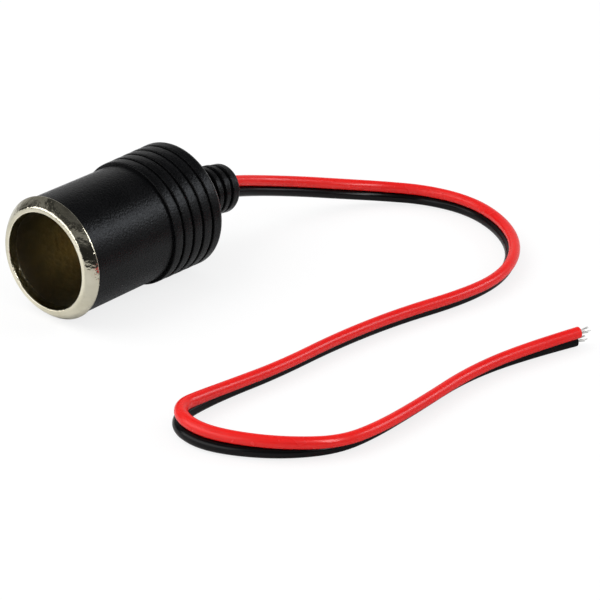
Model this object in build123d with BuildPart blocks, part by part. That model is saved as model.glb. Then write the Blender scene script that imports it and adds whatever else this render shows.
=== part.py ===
from build123d import *
from math import cos, pi, radians, sin, tan
import os

# Car 12 V power socket on a red and black twin lead, in millimetres.
# It lies on its side: the axis runs along Y, the mouth faces -Y and the floor is at Z = 0.
# Round pieces are drawn as radius against station, the distance behind the mouth, and turned.

# Socket sleeve: drawn sheet with a rolled mouth and a conical skirt, its face slightly crowned
bore_radius = 10.5
sheet = 0.5
lip_bend = 1.0
skirt_angle = 52.3
skirt_overhang = 0.38
skirt_crown = 0.08
mouth_edge = 0.25
mouth_flare = 0.35
mouth_run = 1.8
sleeve_depth = 31.0

# Barrel: hard front tube, drafted, with a spigot that the boot snaps over
barrel_wall = 2.37
barrel_draft = 0.1
nose_flat = 1.6
spigot_wall = 1.1
spigot_past_sleeve = 1.5
bead_height = 0.3
bead_width = 1.4

# Boot: soft drafted collar of slightly crowned bands parted by narrow grooves
boot_wall = 2.1
collar_draft = 0.2
boot_floor = 3.2
chamber_depth = 4.4
band_count = 5
band_pitch = 3.0
band_edge = 0.2
band_crown = 0.05
groove_width = 0.75
groove_depth = 0.5
rear_round = 1.2

# Strain relief: a ribbed neck that droops under the lead
neck_radius = 5.0
relief_length = 15.1
relief_droop = 10.0
rib_count = 6
rib_pitch = 2.5
rib_width = 1.5
rib_edge = 0.3
tip_width = 2.3
tip_round = 0.7
first_rib_radius = 6.4
last_rib_radius = 5.55

# Contact stack: rivet, insulators and solder tags
insulator_thickness = 0.8
insulator_clearance = 0.1
head_radius = 3.6
head_height = 1.2
head_round = 0.6
shank_radius = 1.5
tail_radius = 2.5
tail_height = 0.6
bush_wall = 1.4
bush_flange_radius = 4.4
bush_flange_thickness = 0.9
tag_sheet = 0.5
tag_width = 3.0
tag_bend = 0.6
tag_clearance = 0.4
tag_short_of_boot = 1.4
weld_foot = 3.4

# Twin lead
core_radius = 1.25
core_gap = 0.08
strip_past_boot = 0.8
conductor_radius = 0.55
conductor_bend = 0.5
conductor_lead = 0.6
joint_length = 1.1
solder_wall = 0.4
solder_film = 0.12
exit_run = 3.2
corner_share = 0.45
strand_count = 5
strand_radius = 0.1
strand_length = 2.6
strand_lengths = 3
strand_step = 0.12
strand_ring = 0.42
strand_knee = 0.35
strand_splay = 6.0

# The lead's free route, chosen by hand: middle of the pair, and how far the red core leans to
# the left of travel, in degrees. It starts past the strain relief and ends at the bare strands.
lead_route = [
    (0.8, 40.5, 9.3, -12),
    (4.2, 49.9, 6.9, -11),
    (8.6, 58.6, 4.7, -9),
    (14.1, 66.0, 3.3, -10),
    (22.7, 72.4, 2.7, -13),
    (33.6, 74.3, 2.55, -10),
    (44.4, 71.0, 2.55, 2),
    (53.8, 64.4, 2.53, 13),
    (59.9, 55.8, 2.42, 27),
    (62.6, 45.9, 2.27, 39),
    (61.8, 34.5, 2.3, 37),
    (57.6, 18.9, 2.3, 37),
    (55.3, 1.9, 2.32, 36),
    (54.8, -15.9, 2.33, 35),
    (52.85, -28.95, 2.41, 29),
    (51.45, -37.2, 2.48, 20),
    (51.9, -42.5, 2.54, 10),
    (56.2, -46.75, 2.55, 5),
    (63.2, -47.65, 2.56, 1),
    (71.4, -44.8, 2.55, -7),
    (79.1, -39.8, 2.49, -20),
    (85.0, -32.4, 2.3, -37),
    (86.5, -23.0, 2.23, -43),
    (86.1, -8.9, 2.16, -47),
    (85.0, 7.5, 2.16, -46),
    (87.7, 22.9, 2.33, -35),
    (92.1, 36.0, 2.45, -24),
]

# Radii that follow from the walls
tube_radius = bore_radius + sheet
barrel_front_radius = tube_radius + barrel_wall
barrel_rear_radius = barrel_front_radius - barrel_draft
spigot_radius = tube_radius + spigot_wall
collar_radius = spigot_radius + boot_wall
skirt_radius = barrel_front_radius + skirt_overhang
bush_radius = shank_radius + bush_wall

# Stations that follow from the stack
sleeve_corner = insulator_thickness + head_height
sleeve_back = sleeve_depth + sheet
spigot_end = sleeve_back + spigot_past_sleeve
chamber_end = spigot_end + chamber_depth
collar_end = chamber_end + boot_floor
collar_front = collar_end - band_count * band_pitch
bead_station = (collar_front + spigot_end) / 2
insulator_front = sleeve_depth - insulator_thickness
head_front = insulator_front - head_height
tag_front = sleeve_back + bush_flange_thickness
tail_front = tag_front + tag_sheet
tag_tip = chamber_end - tag_short_of_boot
strip_station = chamber_end - strip_past_boot

# Strain relief: an arc in the YZ plane, up to the middle of its last rib
droop = radians(relief_droop)
relief_bend = (relief_length - tip_width / 2) / droop
relief_reach = relief_bend * sin(droop)
relief_tip = (
    collar_end + relief_reach + (tip_width / 2 - tip_round) * cos(droop)
    + (last_rib_radius - tip_round) * sin(droop) + tip_round
)

# The socket rests on its collar, with the middle of its length at Y = 0
axis_height = collar_radius
mouth_y = -relief_tip / 2
twin_offset = core_radius + core_gap / 2
section = Plane(origin=(0, mouth_y, axis_height), x_dir=(1, 0, 0), z_dir=(0, 0, 1))
socket_axis = Axis((0, mouth_y, axis_height), (0, 1, 0))
bend_axis = Axis((0, mouth_y + collar_end, axis_height - relief_bend), (-1, 0, 0))


def across(station):
    """Plane square to the socket's axis, seen from the mouth's far side, with Z as its local y."""
    return Plane(origin=(0, mouth_y + station, axis_height), x_dir=(-1, 0, 0), z_dir=(0, 1, 0))


def along_relief(distance):
    """Section plane of the strain relief, with its local y along the drooping neck."""
    turn = distance / relief_bend
    origin = (
        0,
        mouth_y + collar_end + relief_bend * sin(turn),
        axis_height - relief_bend * (1 - cos(turn)),
    )
    return Plane(origin=origin, x_dir=(1, 0, 0), z_dir=(0, sin(turn), cos(turn)))


def at(station, height):
    """Point of the YZ plane, from a station and a height over the socket's axis."""
    return (mouth_y + station, axis_height + height)


os.makedirs("parts", exist_ok=True)

# Skirt of the sleeve: a roll about lip_centre, then a crowned cone out to a rounded rim
skirt_along = Vector(cos(radians(skirt_angle)), sin(radians(skirt_angle)))
skirt_out = Vector(sin(radians(skirt_angle)), -cos(radians(skirt_angle)))
lip_centre = Vector(bore_radius + lip_bend, lip_bend)
lip_inner_bend = lip_bend - sheet
skirt_start = lip_centre + skirt_out * (lip_bend - sheet / 2)
rim_radius = skirt_radius - sheet / 2
rim_middle = skirt_start + skirt_along * ((rim_radius - skirt_start.X) / skirt_along.X)
skirt_inside = lip_centre + skirt_out * lip_inner_bend
skirt_outside = lip_centre + skirt_out * lip_bend
mouth_radius = bore_radius + mouth_flare


def under_skirt(radius):
    """Point on the skirt's inner cone at a radius: the barrel's nose seats there."""
    return (radius, skirt_inside.Y + (radius - skirt_inside.X) * tan(radians(skirt_angle)))


with BuildPart() as socket_sleeve:
    with BuildSketch(section):
        with BuildLine():
            wall_in = Line((bore_radius, mouth_run), (bore_radius, sleeve_depth - sleeve_corner))
            corner_in = JernArc(wall_in @ 1, wall_in % 1, sleeve_corner, 90)
            floor = Polyline(
                corner_in @ 1,
                (bush_radius, sleeve_depth),
                (bush_radius, sleeve_back),
                (bore_radius - sleeve_corner, sleeve_back),
            )
            corner_out = JernArc(floor @ 1, (1, 0), sleeve_corner + sheet, -90)
            wall_out = Line(corner_out @ 1, (tube_radius, lip_bend))
            roll_in = ThreePointArc(
                wall_out @ 1, lip_centre - Vector(0, lip_inner_bend), skirt_inside
            )
            skirt_back = Line(roll_in @ 1, rim_middle - skirt_out * (sheet / 2))
            rim = ThreePointArc(
                skirt_back @ 1,
                rim_middle + skirt_along * (sheet / 2),
                rim_middle + skirt_out * (sheet / 2),
            )
            skirt_face = ThreePointArc(
                rim @ 1,
                (rim @ 1 + skirt_outside) / 2 + skirt_out * skirt_crown,
                skirt_outside,
            )
            roll_out = ThreePointArc(
                skirt_face @ 1,
                lip_centre + (skirt_out - Vector(0, 1)).normalized() * lip_bend,
                lip_centre - Vector(0, lip_bend),
            )
            crest = Line(roll_out @ 1, (mouth_radius + mouth_edge, 0))
            edge = JernArc(crest @ 1, crest % 1, mouth_edge, -90)
            Line(edge @ 1, wall_in @ 0)
        make_face()
    revolve(axis=socket_axis)
socket_sleeve.part.label = "socket_sleeve"
export_step(socket_sleeve.part, "parts/socket_sleeve.step")

# Snap bead of the spigot, shared by the barrel and the boot's groove
bead = [
    (spigot_radius, bead_station - bead_width / 2),
    (spigot_radius + bead_height, bead_station - bead_width / 2 + bead_height),
    (spigot_radius + bead_height, bead_station + bead_width / 2 - bead_height),
    (spigot_radius, bead_station + bead_width / 2),
]

with BuildPart() as barrel:
    nose = under_skirt(tube_radius + nose_flat)
    with BuildSketch(section):
        with BuildLine():
            Polyline(
                (tube_radius, nose[1]),
                nose,
                under_skirt(barrel_front_radius),
                (barrel_rear_radius, collar_front),
                (spigot_radius, collar_front),
                *bead,
                (spigot_radius, spigot_end),
                (tube_radius, spigot_end),
                close=True,
            )
        make_face()
    revolve(axis=socket_axis)
barrel.part.label = "barrel"
export_step(barrel.part, "parts/barrel.step")

# Contact stack
with BuildPart() as floor_insulator:
    with BuildSketch(across(insulator_front)):
        Circle(bore_radius - sleeve_corner - insulator_clearance)
        Circle(shank_radius, mode=Mode.SUBTRACT)
    extrude(amount=insulator_thickness)
floor_insulator.part.label = "floor_insulator"
export_step(floor_insulator.part, "parts/floor_insulator.step")

with BuildPart() as rear_insulator:
    with BuildSketch(across(sleeve_depth)):
        Circle(bush_radius)
    extrude(amount=sheet)
    with BuildSketch(across(sleeve_back)):
        Circle(bush_flange_radius)
    extrude(amount=bush_flange_thickness)
    with BuildSketch(across(sleeve_depth)):
        Circle(shank_radius)
    extrude(amount=sheet + bush_flange_thickness, mode=Mode.SUBTRACT)
rear_insulator.part.label = "rear_insulator"
export_step(rear_insulator.part, "parts/rear_insulator.step")

with BuildPart() as centre_contact:
    with BuildSketch(section) as rivet:
        with BuildLine():
            Polyline(
                (0, head_front),
                (head_radius, head_front),
                (head_radius, insulator_front),
                (shank_radius, insulator_front),
                (shank_radius, tail_front),
                (tail_radius, tail_front),
                (tail_radius, tail_front + tail_height),
                (0, tail_front + tail_height),
                close=True,
            )
        make_face()
        head_corner = rivet.vertices().group_by(Axis.X)[-1].sort_by(Axis.Y)[0]
        fillet(head_corner, head_round)
    revolve(axis=socket_axis)
centre_contact.part.label = "centre_contact"
export_step(centre_contact.part, "parts/centre_contact.step")

# Solder tags: bent strips whose legs stand along the axis, beside the stripped cores
positive_leg = tail_radius + tag_clearance + tag_sheet / 2
negative_leg = bush_flange_radius + tag_clearance + tag_sheet / 2

with BuildPart() as positive_tag:
    with BuildSketch(Plane.YZ):
        with BuildLine():
            FilletPolyline(
                at(tag_front + tag_sheet / 2, 0),
                at(tag_front + tag_sheet / 2, positive_leg),
                at(tag_tip, positive_leg),
                radius=tag_bend,
            )
        trace(line_width=tag_sheet)
    extrude(amount=tag_width / 2, both=True)
    with BuildSketch(across(tag_front)):
        Circle(tail_radius)
    extrude(amount=tag_sheet)
    with BuildSketch(across(tag_front)):
        Circle(shank_radius)
    extrude(amount=tag_sheet, mode=Mode.SUBTRACT)
positive_tag.part.label = "positive_tag"
export_step(positive_tag.part, "parts/positive_tag.step")

with BuildPart() as negative_tag:
    with BuildSketch(Plane.YZ):
        with BuildLine():
            FilletPolyline(
                at(sleeve_back + tag_sheet / 2, -negative_leg - weld_foot),
                at(sleeve_back + tag_sheet / 2, -negative_leg),
                at(tag_tip, -negative_leg),
                radius=tag_bend,
            )
        trace(line_width=tag_sheet)
    extrude(amount=tag_width / 2, both=True)
negative_tag.part.label = "negative_tag"
export_step(negative_tag.part, "parts/negative_tag.step")


def lead_inside(side):
    """One core from its stripped end, through the boot and down the strain relief."""
    with BuildPart() as lead:
        with BuildLine(Plane.YZ) as path:
            straight = Line(
                at(strip_station, side * twin_offset), at(collar_end, side * twin_offset)
            )
            bend = JernArc(straight @ 1, straight % 1, relief_bend + side * twin_offset, -relief_droop)
            Line(bend @ 1, bend @ 1 + (bend % 1) * (tip_width / 2))
        with BuildSketch(across(strip_station)):
            with Locations((0, side * twin_offset)):
                Circle(core_radius)
        sweep(path=path.line)
    return lead


def conductor(side, leg):
    """Stripped conductor of one core, set over to lie beside its tag's leg."""
    rest = leg - tag_sheet / 2 - solder_film - conductor_radius
    joint_start = tag_tip - conductor_lead - conductor_radius
    with BuildPart() as wire:
        with BuildLine(Plane.YZ) as path:
            FilletPolyline(
                at(strip_station, side * twin_offset),
                at(strip_station - conductor_lead, side * twin_offset),
                at(joint_start, side * rest),
                at(joint_start - joint_length, side * rest),
                radius=conductor_bend,
            )
        with BuildSketch(across(strip_station)):
            with Locations((0, side * twin_offset)):
                Circle(conductor_radius)
        sweep(path=path.line)
    return wire


def solder(side, leg, wire, tag):
    """Solder round the end of a conductor, filling the film up to the leg of its tag."""
    rest = leg - tag_sheet / 2 - solder_film - conductor_radius
    joint_start = tag_tip - conductor_lead - conductor_radius
    with BuildPart() as joint:
        with BuildSketch(across(joint_start - joint_length)):
            with Locations((0, side * rest)):
                Circle(conductor_radius + solder_wall)
        extrude(amount=joint_length - conductor_bend)
        fillet(joint.edges().filter_by(GeomType.CIRCLE), solder_wall / 2)
        add(wire.part, mode=Mode.SUBTRACT)
        add(tag.part, mode=Mode.SUBTRACT)
    return joint


red_lead_inside = lead_inside(1)
red_lead_inside.part.label = "red_lead_inside"
export_step(red_lead_inside.part, "parts/red_lead_inside.step")

black_lead_inside = lead_inside(-1)
black_lead_inside.part.label = "black_lead_inside"
export_step(black_lead_inside.part, "parts/black_lead_inside.step")

red_conductor = conductor(1, positive_leg)
red_conductor.part.label = "red_conductor"
export_step(red_conductor.part, "parts/red_conductor.step")

black_conductor = conductor(-1, negative_leg)
black_conductor.part.label = "black_conductor"
export_step(black_conductor.part, "parts/black_conductor.step")

positive_solder = solder(1, positive_leg, red_conductor, positive_tag)
positive_solder.part.label = "positive_solder"
export_step(positive_solder.part, "parts/positive_solder.step")

negative_solder = solder(-1, negative_leg, black_conductor, negative_tag)
negative_solder.part.label = "negative_solder"
export_step(negative_solder.part, "parts/negative_solder.step")

# Boot: banded collar over the spigot, then the neck and its ribs, with both cores passing through
def collar_at(station):
    """Radius of the drafted collar's band edges: the last band's crown is the collar's radius."""
    crown_station = collar_end - band_pitch / 2
    run = (crown_station - station) / (crown_station - collar_front)
    return collar_radius - band_crown - collar_draft * run


with BuildPart() as rear_boot:
    with BuildSketch(section) as collar:
        with BuildLine():
            corner = (spigot_radius, collar_front)
            for band in range(band_count):
                band_start = collar_front + band * band_pitch
                band_end = band_start + band_pitch - groove_width
                if band == band_count - 1:
                    band_end = collar_end
                band_middle = (band_start + band_end) / 2
                Line(corner, (collar_at(band_start), band_start))
                ThreePointArc(
                    (collar_at(band_start), band_start),
                    (collar_at(band_middle) + band_crown, band_middle),
                    (collar_at(band_end), band_end),
                )
                if band < band_count - 1:
                    groove_radius = collar_at(band_end) - groove_depth
                    corner = (groove_radius, band_end + groove_width)
                    Polyline((collar_at(band_end), band_end), (groove_radius, band_end), corner)
            Polyline(
                (collar_radius, collar_end),
                (0, collar_end),
                (0, chamber_end),
                (bore_radius, chamber_end),
                (bore_radius, spigot_end),
                (spigot_radius, spigot_end),
                *reversed(bead),
                (spigot_radius, collar_front),
            )
        make_face()
        band_corners = collar.vertices().filter_by_position(
            Axis.X, collar_at(collar_front) - groove_depth / 4, collar_radius + band_crown
        ).sort_by(Axis.Y)
        fillet(band_corners[:-1], band_edge)
        fillet(collar.vertices().sort_by(Axis.X)[-1], rear_round)
    revolve(axis=socket_axis)
    with BuildSketch(across(collar_end)):
        Circle(neck_radius)
    revolve(axis=bend_axis, revolution_arc=relief_droop)
    ribs = [(relief_length - tip_width / 2, tip_width, tip_round)]
    for rib in range(1, rib_count):
        ribs.append((relief_length - tip_width + rib_width / 2 - rib * rib_pitch, rib_width, rib_edge))
    for from_tip, (rib_middle, width, end_edge) in enumerate(ribs):
        rib_radius = last_rib_radius + (first_rib_radius - last_rib_radius) * from_tip / (rib_count - 1)
        rib_plane = along_relief(rib_middle)
        with BuildSketch(rib_plane) as rib_profile:
            with Locations((rib_radius / 2, 0)):
                Rectangle(rib_radius, width)
            fillet(rib_profile.vertices().group_by(Axis.X)[-1].sort_by(Axis.Y)[0], rib_edge)
            fillet(rib_profile.vertices().group_by(Axis.X)[-1].sort_by(Axis.Y)[-1], end_edge)
        revolve(axis=Axis(rib_plane.origin, rib_plane.y_dir))
    add(red_lead_inside.part, mode=Mode.SUBTRACT)
    add(black_lead_inside.part, mode=Mode.SUBTRACT)
rear_boot.part.label = "rear_boot"
export_step(rear_boot.part, "parts/rear_boot.step")

# Free lead: it leaves square to the relief's end face, then follows the route
relief_end = along_relief(relief_length - tip_width / 2)
exit_heading = relief_end.y_dir
exit_point = relief_end.origin + exit_heading * (tip_width / 2)
lead_middle = [exit_point, exit_point + exit_heading * exit_run]
lead_middle += [Vector(x, y, z) for x, y, z, lean in lead_route]
lead_lean = [0, 0] + [lean for x, y, z, lean in lead_route]


def core_points(side):
    """Route of one core, beside the middle of the pair: +1 is red, -1 is black."""
    points = []
    last = len(lead_middle) - 1
    for index, middle in enumerate(lead_middle):
        before = lead_middle[max(index - 1, 0)]
        after = lead_middle[min(index + 1, last)]
        heading = exit_heading if index < 2 else (after - before).normalized()
        left = Vector(0, 0, 1).cross(heading).normalized()
        up = heading.cross(left)
        lean = radians(lead_lean[index])
        points.append(middle + (up * cos(lean) + left * sin(lean)) * (side * twin_offset))
    return points


def corner_radii(points):
    """Largest arc that both runs at each corner allow."""
    radii = []
    for before, corner, after in zip(points, points[1:], points[2:]):
        run_in = corner - before
        run_out = after - corner
        half_turn = radians(run_in.get_angle(run_out) / 2)
        radii.append(corner_share * min(run_in.length, run_out.length) / tan(half_turn))
    return radii


def free_core(points, name):
    """Plain tube along straight runs joined by tangent arcs."""
    radii = corner_radii(points)
    with BuildPart() as core:
        with BuildLine() as path:
            FilletPolyline(*points, radius=radii)
        with BuildSketch(Plane(points[0], z_dir=points[1] - points[0])):
            Circle(core_radius)
        sweep(path=path.line)
    length = path.wire().length
    print(name, "length", round(length, 1), "radii", [round(radius, 1) for radius in radii])
    print(name, "volume over section times length", core.part.volume / (pi * core_radius**2 * length))
    return core


def bare_strands(points):
    """Bare strands that stand out of a core's cut end and spread a little."""
    heading = (points[-1] - points[-2]).normalized()
    cut = Plane(points[-1], z_dir=heading)
    with BuildPart() as strands:
        for strand in range(strand_count):
            turn = 2 * pi * strand / strand_count
            outward = cut.x_dir * cos(turn) + cut.y_dir * sin(turn)
            foot = points[-1] + outward * strand_ring
            reach = strand_length * (1 - strand_step * (strand % strand_lengths))
            knee = foot + heading * (reach * strand_knee)
            spread = radians(strand_splay)
            tip = knee + (heading * cos(spread) + outward * sin(spread)) * (reach * (1 - strand_knee))
            with BuildLine() as path:
                FilletPolyline(foot, knee, tip, radius=reach)
            with BuildSketch(Plane(foot, z_dir=heading)):
                Circle(strand_radius)
            sweep(path=path.line)
    return strands


red_points = core_points(1)
red_core = free_core(red_points, "red_core")
red_core.part.label = "red_core"
export_step(red_core.part, "parts/red_core.step")

black_points = core_points(-1)
black_core = free_core(black_points, "black_core")
black_core.part.label = "black_core"
export_step(black_core.part, "parts/black_core.step")

red_strands = bare_strands(red_points)
red_strands.part.label = "red_strands"
export_step(red_strands.part, "parts/red_strands.step")

black_strands = bare_strands(black_points)
black_strands.part.label = "black_strands"
export_step(black_strands.part, "parts/black_strands.step")
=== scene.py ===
import math

import bpy
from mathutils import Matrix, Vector


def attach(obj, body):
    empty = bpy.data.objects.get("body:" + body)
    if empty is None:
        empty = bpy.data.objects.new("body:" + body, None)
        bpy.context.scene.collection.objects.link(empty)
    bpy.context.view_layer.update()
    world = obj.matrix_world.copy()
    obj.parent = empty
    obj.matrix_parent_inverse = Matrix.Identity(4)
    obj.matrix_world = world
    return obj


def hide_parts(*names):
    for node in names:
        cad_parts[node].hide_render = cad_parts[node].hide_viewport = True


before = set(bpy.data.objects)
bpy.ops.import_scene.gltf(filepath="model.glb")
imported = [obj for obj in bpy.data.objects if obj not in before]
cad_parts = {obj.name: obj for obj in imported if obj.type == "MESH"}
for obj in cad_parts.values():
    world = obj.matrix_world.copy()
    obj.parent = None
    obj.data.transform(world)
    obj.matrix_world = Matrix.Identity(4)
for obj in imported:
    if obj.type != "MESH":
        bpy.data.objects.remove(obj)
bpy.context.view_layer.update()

# Car 12 V power socket on a red and black lead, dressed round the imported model. Metres, +Z up.
MM = 0.001

# Socket's axis, bore and middle, as the model has them
MOUTH_Y = -28.2323 * MM
AXIS_Z = 14.2 * MM
BORE_RADIUS = 10.5 * MM
SOCKET_MIDDLE = (0, 0, 0.014)

# Camera of the photograph, measured from the middle of the socket's mouth; angles in degrees
CAMERA_AZIMUTH = 40.919
CAMERA_ELEVATION = 25.731
CAMERA_RIGHT = 53.809 * MM
CAMERA_UP = -8.091 * MM
CAMERA_BACK = 632.119 * MM
CAMERA_LENS = 180.0
CAMERA_CLIP = (0.01, 20.0)
SENSOR_WIDTH = 36.0

# Twin lead; the route has the middle of the pair in millimetres and the red core's lean in degrees
CORE_RADIUS = 1.25 * MM
TWIN_OFFSET = 1.29 * MM
LEAD_EXIT = (0.0, 27.3795, 12.786)
RELIEF_DROOP = 10.0
EXIT_RUN = 3.2
LEAD_ROUTE = [
    (0.8, 40.5, 9.3, -12),
    (4.2, 49.9, 6.9, -11),
    (8.6, 58.6, 4.7, -9),
    (14.1, 66.0, 3.3, -10),
    (22.7, 72.4, 2.7, -13),
    (33.6, 74.3, 2.55, -10),
    (44.4, 71.0, 2.55, 2),
    (53.8, 64.4, 2.53, 13),
    (59.9, 55.8, 2.42, 27),
    (62.6, 45.9, 2.27, 39),
    (61.8, 34.5, 2.3, 37),
    (57.6, 18.9, 2.3, 37),
    (55.3, 1.9, 2.32, 36),
    (54.8, -15.9, 2.3, 37),
    (52.95, -29.1, 2.32, 35),
    (52.4, -38.0, 2.45, 24),
    (52.75, -43.4, 2.53, 11),
    (56.55, -47.25, 2.55, 5),
    (63.55, -48.25, 2.56, 1),
    (71.7, -45.15, 2.55, -7),
    (79.2, -39.9, 2.49, -20),
    (85.0, -32.4, 2.3, -37),
    (86.5, -23.0, 2.23, -43),
    (86.1, -8.9, 2.16, -47),
    (85.0, 7.5, 2.16, -46),
    (87.7, 22.9, 2.33, -35),
    (92.1, 36.0, 2.45, -24),
]

# Points of the route where the soft sheaths spread at the fold, and how much wider they are there
FOLD_SPREAD = {14: 1.03, 15: 1.09, 16: 1.13, 17: 1.13, 18: 1.09, 19: 1.05, 20: 1.03}

# Smoothness of the cords: the spline's order, steps between its points and steps round the section
SPLINE_ORDER = 3
SPLINE_STEPS = 12
ROUND_STEPS = 9

# Ranges of a noise over which a colour drifts, and over which the gloss does
PATCHES = (0.35, 0.65)
GRAIN = (0.3, 0.7)

# Sleeve: where its lip gives way to the bore's wall, by radius and by depth, and where the wall's
# painted shade near the mouth lightens to the tarnish
WALL_RADII = (BORE_RADIUS + 0.2 * MM, BORE_RADIUS + 0.04 * MM)
WALL_STARTS = (MOUTH_Y + 1.1 * MM, MOUTH_Y + 2.4 * MM)
WALL_PAINTED_SHADE = (MOUTH_Y + 2 * MM, MOUTH_Y + 13 * MM)

# How much deeper the sleeve's dents are than its drawing streaks
DENTS_TO_STREAKS = 14

# Floor: its size, its paper's tone, the painted light and shade that mirrors show of it across X,
# and the shadow that it keeps
FLOOR_HALF = 4.0
FLOOR_DROP = 0.02 * MM
PAPER = 0.8
PAPER_SPAN = (-0.4, 0.2)
PAPER_PAINTED_SHADING_IN_MIRRORS = [
    (0.0, 0.3), (0.45, 0.64), (0.54, 0.66), (0.61, 0.78), (0.63, 1.0), (0.655, 1.0), (0.695, 0.63),
    (0.79, 0.63), (0.88, 0.03),
]
SHADOW_KEPT = 0.2

# World: its fill light, and what mirrors show by height, behind the socket and before it
FILL = 0.72
ROOM_TURNS = (-0.3, 0.6)
SWEEP_BEHIND = [
    (0.0, 0.45), (0.2, 0.52), (0.35, 0.48), (0.5, 0.38), (0.58, 0.2), (0.66, 0.07), (0.8, 0.03),
]
ROOM_BEFORE = [
    (0.0, 0.02), (0.33, 0.02), (0.48, 0.07), (0.58, 0.22), (0.68, 0.2), (0.74, 0.04), (0.8, 0.03),
    (0.87, 0.1), (0.95, 0.06),
]

# Sockets of a mix node by its kind: first value, second value and result
MIX_SOCKETS = {"FLOAT": (2, 3, 0), "RGBA": (6, 7, 2)}

scene = bpy.context.scene
scene.view_settings.view_transform = "Standard"


def place(data, name):
    """Object of that name in the scene, at the origin."""
    obj = bpy.data.objects.new(name, data)
    scene.collection.objects.link(obj)
    return obj


# Camera
def camera_frame():
    """Right, up and back of the photograph's camera."""
    turn = math.radians(CAMERA_AZIMUTH)
    lift = math.radians(CAMERA_ELEVATION)
    right = Vector((math.cos(turn), math.sin(turn), 0))
    back = Vector((
        math.sin(turn) * math.cos(lift), -math.cos(turn) * math.cos(lift), math.sin(lift)
    ))
    return right, back.cross(right), back


right, up, back = camera_frame()
camera = place(bpy.data.cameras.new("camera"), "camera")
camera.data.lens = CAMERA_LENS
camera.data.sensor_width = SENSOR_WIDTH
camera.data.clip_start, camera.data.clip_end = CAMERA_CLIP
camera.location = (
    Vector((0, MOUTH_Y, AXIS_Z)) + right * CAMERA_RIGHT + up * CAMERA_UP + back * CAMERA_BACK
)
camera.rotation_mode = "QUATERNION"
camera.rotation_quaternion = (-back).to_track_quat("-Z", "Y")
scene.camera = camera


# Materials
class Nodes:
    """A node tree, with short calls for the nodes that the finishes and the world share."""

    def __init__(self, owner, output, coordinates):
        owner.use_nodes = True
        self.tree = owner.node_tree
        self.tree.nodes.clear()
        self.out = self.add(output)
        self.coordinates = self.add("ShaderNodeTexCoord").outputs[coordinates]

    def add(self, kind, **values):
        """New node with these settings."""
        node = self.tree.nodes.new(kind)
        for key, value in values.items():
            setattr(node, key, value)
        return node

    def link(self, source, target):
        """Link from an output to an input."""
        self.tree.links.new(source, target)

    def feed(self, value, target):
        """Input that takes another node's output, a colour or a number."""
        if isinstance(value, bpy.types.NodeSocket):
            self.link(value, target)
        elif isinstance(value, tuple):
            target.default_value = (*value, 1)
        else:
            target.default_value = value

    def surface(self, shader):
        """Shader that the material or the world shows."""
        self.link(shader.outputs[0], self.out.inputs["Surface"])

    def principled(self, **values):
        """Surface shader with these inputs, the same all over."""
        shader = self.add("ShaderNodeBsdfPrincipled")
        for key, value in values.items():
            shader.inputs[key.replace("_", " ")].default_value = value
        self.surface(shader)
        return shader

    def stretched(self, scale):
        """Coordinates scaled by axis."""
        mapping = self.add("ShaderNodeMapping")
        mapping.inputs["Scale"].default_value = scale
        self.link(self.coordinates, mapping.inputs["Vector"])
        return mapping.outputs["Vector"]

    def axes(self):
        """X, Y and Z of the coordinates."""
        node = self.add("ShaderNodeSeparateXYZ")
        self.link(self.coordinates, node.inputs["Vector"])
        return node.outputs

    def noise(self, scale, detail=4.0, vector=None):
        """Noise, about 0.5 on average."""
        node = self.add("ShaderNodeTexNoise")
        node.inputs["Scale"].default_value = scale
        node.inputs["Detail"].default_value = detail
        self.link(vector or self.coordinates, node.inputs["Vector"])
        return node.outputs["Fac"]

    def span(self, value, source, target=(0, 1), smooth=False):
        """Value carried over from one range to another, and held at its ends."""
        node = self.add("ShaderNodeMapRange")
        if smooth:
            node.interpolation_type = "SMOOTHSTEP"
        for socket, number in zip(node.inputs[1:5], (*source, *target)):
            socket.default_value = number
        self.link(value, node.inputs["Value"])
        return node.outputs["Result"]

    def math(self, operation, *values):
        """Result of an operation on outputs and numbers."""
        node = self.add("ShaderNodeMath", operation=operation)
        for socket, value in zip(node.inputs, values):
            self.feed(value, socket)
        return node.outputs["Value"]

    def ramp(self, value, stops):
        """Grey level by value, between stops of position and level."""
        node = self.add("ShaderNodeValToRGB")
        elements = node.color_ramp.elements
        while len(elements) < len(stops):
            elements.new(1)
        for element, (position, level) in zip(elements, stops):
            element.position = position
            element.color = (level, level, level, 1)
        self.link(value, node.inputs["Fac"])
        return node.outputs["Color"]

    def mix(self, kind, factor, first, second):
        """Mix of two numbers, FLOAT, or of two colours, RGBA."""
        node = self.add("ShaderNodeMix", data_type=kind)
        low, high, result = MIX_SOCKETS[kind]
        self.link(factor, node.inputs["Factor"])
        self.feed(first, node.inputs[low])
        self.feed(second, node.inputs[high])
        return node.outputs[result]

    def bump(self, height, depth):
        """Normal of a relief of that depth."""
        node = self.add("ShaderNodeBump")
        node.inputs["Strength"].default_value = 1
        node.inputs["Distance"].default_value = depth
        self.link(height, node.inputs["Height"])
        return node.outputs["Normal"]

    def tones(self, scale, dark, light):
        """Colour that drifts between two tones."""
        return self.mix("RGBA", self.span(self.noise(scale), PATCHES), dark, light)

    def dress(self, shader, colour, fine, rough, depth):
        """Shader's colour, and its gloss and relief by the same fine grain."""
        self.link(colour, shader.inputs["Base Color"])
        self.link(self.span(fine, GRAIN, rough), shader.inputs["Roughness"])
        self.link(self.bump(fine, depth), shader.inputs["Normal"])


def new_material(name):
    """Material of that name and its node tree, in the object's own coordinates."""
    material = bpy.data.materials.new(name)
    return material, Nodes(material, "ShaderNodeOutputMaterial", "Object")


def moulded(name, dark, light, drift, grain, depth, rough, specular):
    """Moulded plastic: colour that drifts between two tones, and a fine grain in gloss and bump."""
    material, nodes = new_material(name)
    shader = nodes.principled(Specular_IOR_Level=specular)
    fine = nodes.noise(grain, detail=2)
    nodes.dress(shader, nodes.tones(drift, dark, light), fine, rough, depth)
    return material


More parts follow.
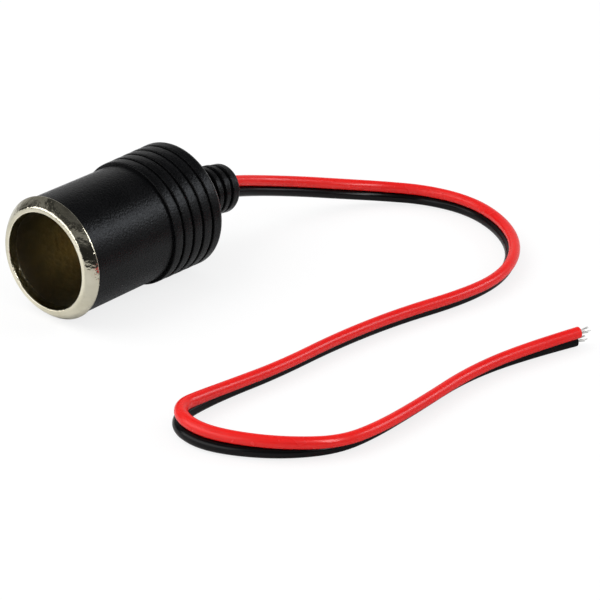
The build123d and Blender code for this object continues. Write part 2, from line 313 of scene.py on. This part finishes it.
def metal(name, dark, light, drift, grain, depth, rough, stretch=(1, 1, 1)):
    """Plain metal: tone and gloss that drift, with fine drawing marks."""
    material, nodes = new_material(name)
    shader = nodes.principled(Metallic=1.0)
    fine = nodes.noise(grain, vector=nodes.stretched(stretch))
    nodes.dress(shader, nodes.tones(drift, dark, light), fine, rough, depth)
    return material


def plated_sheet():
    """Bright nickel on drawn sheet, dull and brown down the bore, with painted shade on the wall
    near the mouth.
    """
    material, nodes = new_material("nickel_plate")
    shader = nodes.principled(Metallic=1.0)
    axes = nodes.axes()
    height = nodes.math("SUBTRACT", axes["Z"], AXIS_Z)
    radius = nodes.math("SQRT", nodes.math(
        "ADD", nodes.math("POWER", axes["X"], 2), nodes.math("POWER", height, 2)
    ))
    inner = nodes.span(radius, WALL_RADII, smooth=True)
    behind_lip = nodes.span(axes["Y"], WALL_STARTS, smooth=True)
    bore = nodes.math("MULTIPLY", inner, behind_lip)
    clouds = nodes.span(nodes.noise(scale=300, detail=5), PATCHES)
    bright = nodes.mix("RGBA", clouds, (0.67, 0.63, 0.49), (0.76, 0.72, 0.58))
    tarnish = nodes.mix("RGBA", clouds, (0.47, 0.42, 0.25), (0.55, 0.5, 0.31))
    # Painted shade: the bore's wall is painted darker near the mouth and lightens to the brown
    # tarnish 13 mm down
    painted_shade_depth = nodes.span(axes["Y"], WALL_PAINTED_SHADE, smooth=True)
    wall = nodes.mix("RGBA", painted_shade_depth, (0.24, 0.21, 0.14), tarnish)
    nodes.link(nodes.mix("RGBA", bore, bright, wall), shader.inputs["Base Color"])
    streaks = nodes.noise(scale=1100, detail=5, vector=nodes.stretched((1, 3, 1)))
    polish = nodes.span(streaks, GRAIN, target=(0.04, 0.11))
    dull = nodes.span(streaks, GRAIN, target=(0.3, 0.42))
    nodes.link(nodes.mix("FLOAT", bore, polish, dull), shader.inputs["Roughness"])
    dents = nodes.math("MULTIPLY", nodes.noise(scale=800, detail=3), DENTS_TO_STREAKS)
    relief = nodes.math("ADD", dents, streaks)
    nodes.link(nodes.bump(relief, depth=0.01 * MM), shader.inputs["Normal"])
    return material


def insulator_board():
    """Brown laminated board with a speckle of paper fibre."""
    material, nodes = new_material("insulator_board")
    shader = nodes.principled(Specular_IOR_Level=0.4)
    fibre = nodes.noise(scale=2600, detail=6, vector=nodes.stretched((1, 1, 0.25)))
    tone = nodes.tones(scale=260, dark=(0.16, 0.062, 0.022), light=(0.24, 0.105, 0.042))
    speck = nodes.span(fibre, source=(0.55, 0.72), target=(0, 0.6))
    speckled = nodes.mix("RGBA", speck, tone, (0.33, 0.19, 0.10))
    nodes.dress(shader, speckled, fibre, rough=(0.42, 0.6), depth=0.02 * MM)
    return material


nickel = plated_sheet()
barrel_plastic = moulded(
    "barrel_plastic", dark=(0.002, 0.0021, 0.0025), light=(0.0038, 0.0039, 0.0044),
    drift=140, grain=2200, depth=0.07 * MM, rough=(0.22, 0.36), specular=0.18,
)
boot_rubber = moulded(
    "boot_rubber", dark=(0.0022, 0.0023, 0.0027), light=(0.004, 0.0041, 0.0047),
    drift=170, grain=2000, depth=0.07 * MM, rough=(0.22, 0.36), specular=0.18,
)
board = insulator_board()
brass = metal(
    "contact_brass", dark=(0.62, 0.43, 0.16), light=(0.74, 0.54, 0.23),
    drift=420, grain=2600, depth=0.006 * MM, rough=(0.16, 0.32),
)
stamped_brass = metal(
    "stamped_brass", dark=(0.58, 0.42, 0.18), light=(0.7, 0.53, 0.26),
    drift=380, grain=2200, depth=0.006 * MM, rough=(0.22, 0.4), stretch=(1, 0.2, 1),
)
bright_solder = metal(
    "bright_solder", dark=(0.52, 0.52, 0.54), light=(0.66, 0.66, 0.68),
    drift=900, grain=3000, depth=0.01 * MM, rough=(0.18, 0.4),
)
tinned = metal(
    "tinned_copper", dark=(0.8, 0.78, 0.74), light=(0.93, 0.91, 0.88),
    drift=1500, grain=5000, depth=0.004 * MM, rough=(0.3, 0.45),
)
red_sheath = moulded(
    "red_sheath", dark=(0.79, 0.005, 0.004), light=(0.85, 0.009, 0.006),
    drift=90, grain=300, depth=0.002 * MM, rough=(0.22, 0.3), specular=0.45,
)
black_sheath = moulded(
    "black_sheath", dark=(0.002, 0.002, 0.0024), light=(0.004, 0.004, 0.0046),
    drift=110, grain=300, depth=0.002 * MM, rough=(0.18, 0.26), specular=0.2,
)

FINISHES = {
    "socket_sleeve": nickel,
    "barrel": barrel_plastic,
    "rear_boot": boot_rubber,
    "floor_insulator": board,
    "rear_insulator": board,
    "centre_contact": brass,
    "positive_tag": stamped_brass,
    "negative_tag": stamped_brass,
    "positive_solder": bright_solder,
    "negative_solder": bright_solder,
    "red_conductor": tinned,
    "black_conductor": tinned,
    "red_lead_inside": red_sheath,
    "black_lead_inside": black_sheath,
    "red_core": red_sheath,
    "black_core": black_sheath,
    "red_strands": tinned,
    "black_strands": tinned,
}
for node, finish in FINISHES.items():
    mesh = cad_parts[node].data
    mesh.materials.clear()
    mesh.materials.append(finish)


# Twin lead
def core_points(side):
    """Control points of one core and its spread at each; +1 is the red core, -1 the black one."""
    droop = math.radians(RELIEF_DROOP)
    heading = Vector((0, math.cos(droop), -math.sin(droop)))
    exit_point = Vector(LEAD_EXIT)
    straight = [exit_point, exit_point + heading * EXIT_RUN]
    start = len(straight)
    middles = straight + [Vector(point[:3]) for point in LEAD_ROUTE]
    leans = [0] * start + [point[3] for point in LEAD_ROUTE]
    points, spreads = [], []
    for index, middle in enumerate(middles):
        spread = FOLD_SPREAD.get(index - start, 1)
        before = middles[max(index - 1, 0)]
        after = middles[min(index + 1, len(middles) - 1)]
        along = heading if index < start else (after - before).normalized()
        left = Vector((0, 0, 1)).cross(along).normalized()
        lean = math.radians(leans[index])
        aside = along.cross(left) * math.cos(lean) + left * math.sin(lean)
        on_floor = Vector((middle.x, middle.y, middle.z * spread))
        points.append(on_floor * MM + aside * (side * TWIN_OFFSET * spread))
        spreads.append(spread)
    return points, spreads


def tube(name, points, spreads, radius, finish):
    """Round cord on one smooth spline."""
    curve = bpy.data.curves.new(name, "CURVE")
    curve.dimensions = "3D"
    spline = curve.splines.new("NURBS")
    spline.points.add(len(points) - 1)
    for target, point, spread in zip(spline.points, points, spreads):
        target.co = (*point, 1)
        target.radius = spread
    spline.order_u = SPLINE_ORDER
    spline.use_endpoint_u = True
    spline.resolution_u = SPLINE_STEPS
    curve.bevel_depth = radius
    curve.bevel_resolution = ROUND_STEPS
    curve.use_fill_caps = True
    curve.materials.append(finish)
    return place(curve, name)


for colour, side, finish in (("red", 1, red_sheath), ("black", -1, black_sheath)):
    points, spreads = core_points(side)
    lead = tube(colour + "_lead", points, spreads, CORE_RADIUS, finish)
    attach(lead, "root")
    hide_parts(colour + "_core")


# Stage: pale floor with painted shade in mirrors, white surroundings, and the dark ceiling that the
# photograph's gloss shows
def is_mirrored(nodes, rays):
    """One where the ray comes from a mirror or through glass."""
    return nodes.math("MAXIMUM", rays["Is Glossy Ray"], rays["Is Transmission Ray"])


def floor_finish():
    """White floor that keeps the shadow: lit paper, lifted to white where the camera sees it;
    mirrors see paper with painted light and shade across X.
    """
    material, nodes = new_material("pale_floor")
    rays = nodes.add("ShaderNodeLightPath").outputs
    # Painted light and shade for mirrors: the paper they see is brightest just left of the socket
    # and darkens across X, to near black past 0.13 m
    across = nodes.span(nodes.axes()["X"], PAPER_SPAN)
    mirrored = nodes.ramp(across, PAPER_PAINTED_SHADING_IN_MIRRORS)
    paper = nodes.add("ShaderNodeBsdfDiffuse")
    nodes.link(
        nodes.mix("FLOAT", is_mirrored(nodes, rays), PAPER, mirrored), paper.inputs["Color"]
    )
    faint = nodes.add("ShaderNodeBsdfDiffuse")
    faint.inputs["Color"].default_value = (SHADOW_KEPT, SHADOW_KEPT, SHADOW_KEPT, 1)
    glow = nodes.add("ShaderNodeEmission")
    glow.inputs["Strength"].default_value = 1 - SHADOW_KEPT
    lifted = nodes.add("ShaderNodeAddShader")
    nodes.link(faint.outputs[0], lifted.inputs[0])
    nodes.link(glow.outputs[0], lifted.inputs[1])
    seen = nodes.add("ShaderNodeMixShader")
    nodes.link(rays["Is Camera Ray"], seen.inputs["Fac"])
    nodes.link(paper.outputs[0], seen.inputs[1])
    nodes.link(lifted.outputs[0], seen.inputs[2])
    nodes.surface(seen)
    return material


def white_world():
    """White where it is seen; mirrored, a pale sweep behind and a dim room before; a soft fill."""
    world = bpy.data.worlds.new("white_world")
    nodes = Nodes(world, "ShaderNodeOutputWorld", "Generated")
    rays = nodes.add("ShaderNodeLightPath").outputs
    axes = nodes.axes()
    turn = nodes.span(axes["Y"], ROOM_TURNS, smooth=True)
    before = nodes.ramp(axes["Z"], ROOM_BEFORE)
    behind = nodes.ramp(axes["Z"], SWEEP_BEHIND)
    room = nodes.mix("FLOAT", turn, before, behind)
    level = nodes.mix("FLOAT", is_mirrored(nodes, rays), FILL, room)
    sky = nodes.add("ShaderNodeBackground")
    sky.inputs["Color"].default_value = (1, 1, 1, 1)
    nodes.link(nodes.math("MAXIMUM", rays["Is Camera Ray"], level), sky.inputs["Strength"])
    nodes.surface(sky)
    return world


floor_mesh = bpy.data.meshes.new("floor")
floor_mesh.from_pydata(
    [(-FLOOR_HALF, -FLOOR_HALF, 0), (FLOOR_HALF, -FLOOR_HALF, 0),
     (FLOOR_HALF, FLOOR_HALF, 0), (-FLOOR_HALF, FLOOR_HALF, 0)], [], [(0, 1, 2, 3)],
)
floor_mesh.materials.append(floor_finish())
floor = place(floor_mesh, "floor")
floor.location.z = -FLOOR_DROP
scene.world = white_world()


def soft_light(name, where, target, size, power, tint=(1, 1, 1), lights=True, mirrored=True):
    """Soft rectangular lamp aimed at a point, to light the part, be mirrored in it, or both."""
    lamp = bpy.data.lights.new(name, "AREA")
    lamp.shape = "RECTANGLE"
    lamp.size, lamp.size_y = size
    lamp.energy = power
    lamp.color = tint
    obj = place(lamp, name)
    obj.location = where
    obj.rotation_mode = "QUATERNION"
    obj.rotation_quaternion = (Vector(target) - Vector(where)).to_track_quat("-Z", "Y")
    obj.visible_diffuse = lights
    obj.visible_glossy = mirrored


soft_light(
    "key", where=(-0.4, -0.45, 0.75), target=(0.03, 0, 0), size=(0.8, 0.8), power=4.9,
    mirrored=False,
)
soft_light(
    "back_right", where=(0.58, 0.57, 0.46), target=SOCKET_MIDDLE, size=(0.5, 0.28), power=1.75,
    tint=(0.88, 0.93, 1.0),
)
soft_light(
    "front", where=(-0.35, -0.872, 0.342), target=SOCKET_MIDDLE, size=(1.5, 0.55), power=5.4,
    lights=False,
)
soft_light(
    "right", where=(0.72, -0.12, 0.52), target=SOCKET_MIDDLE, size=(0.2, 0.6), power=3.0,
    lights=False,
)
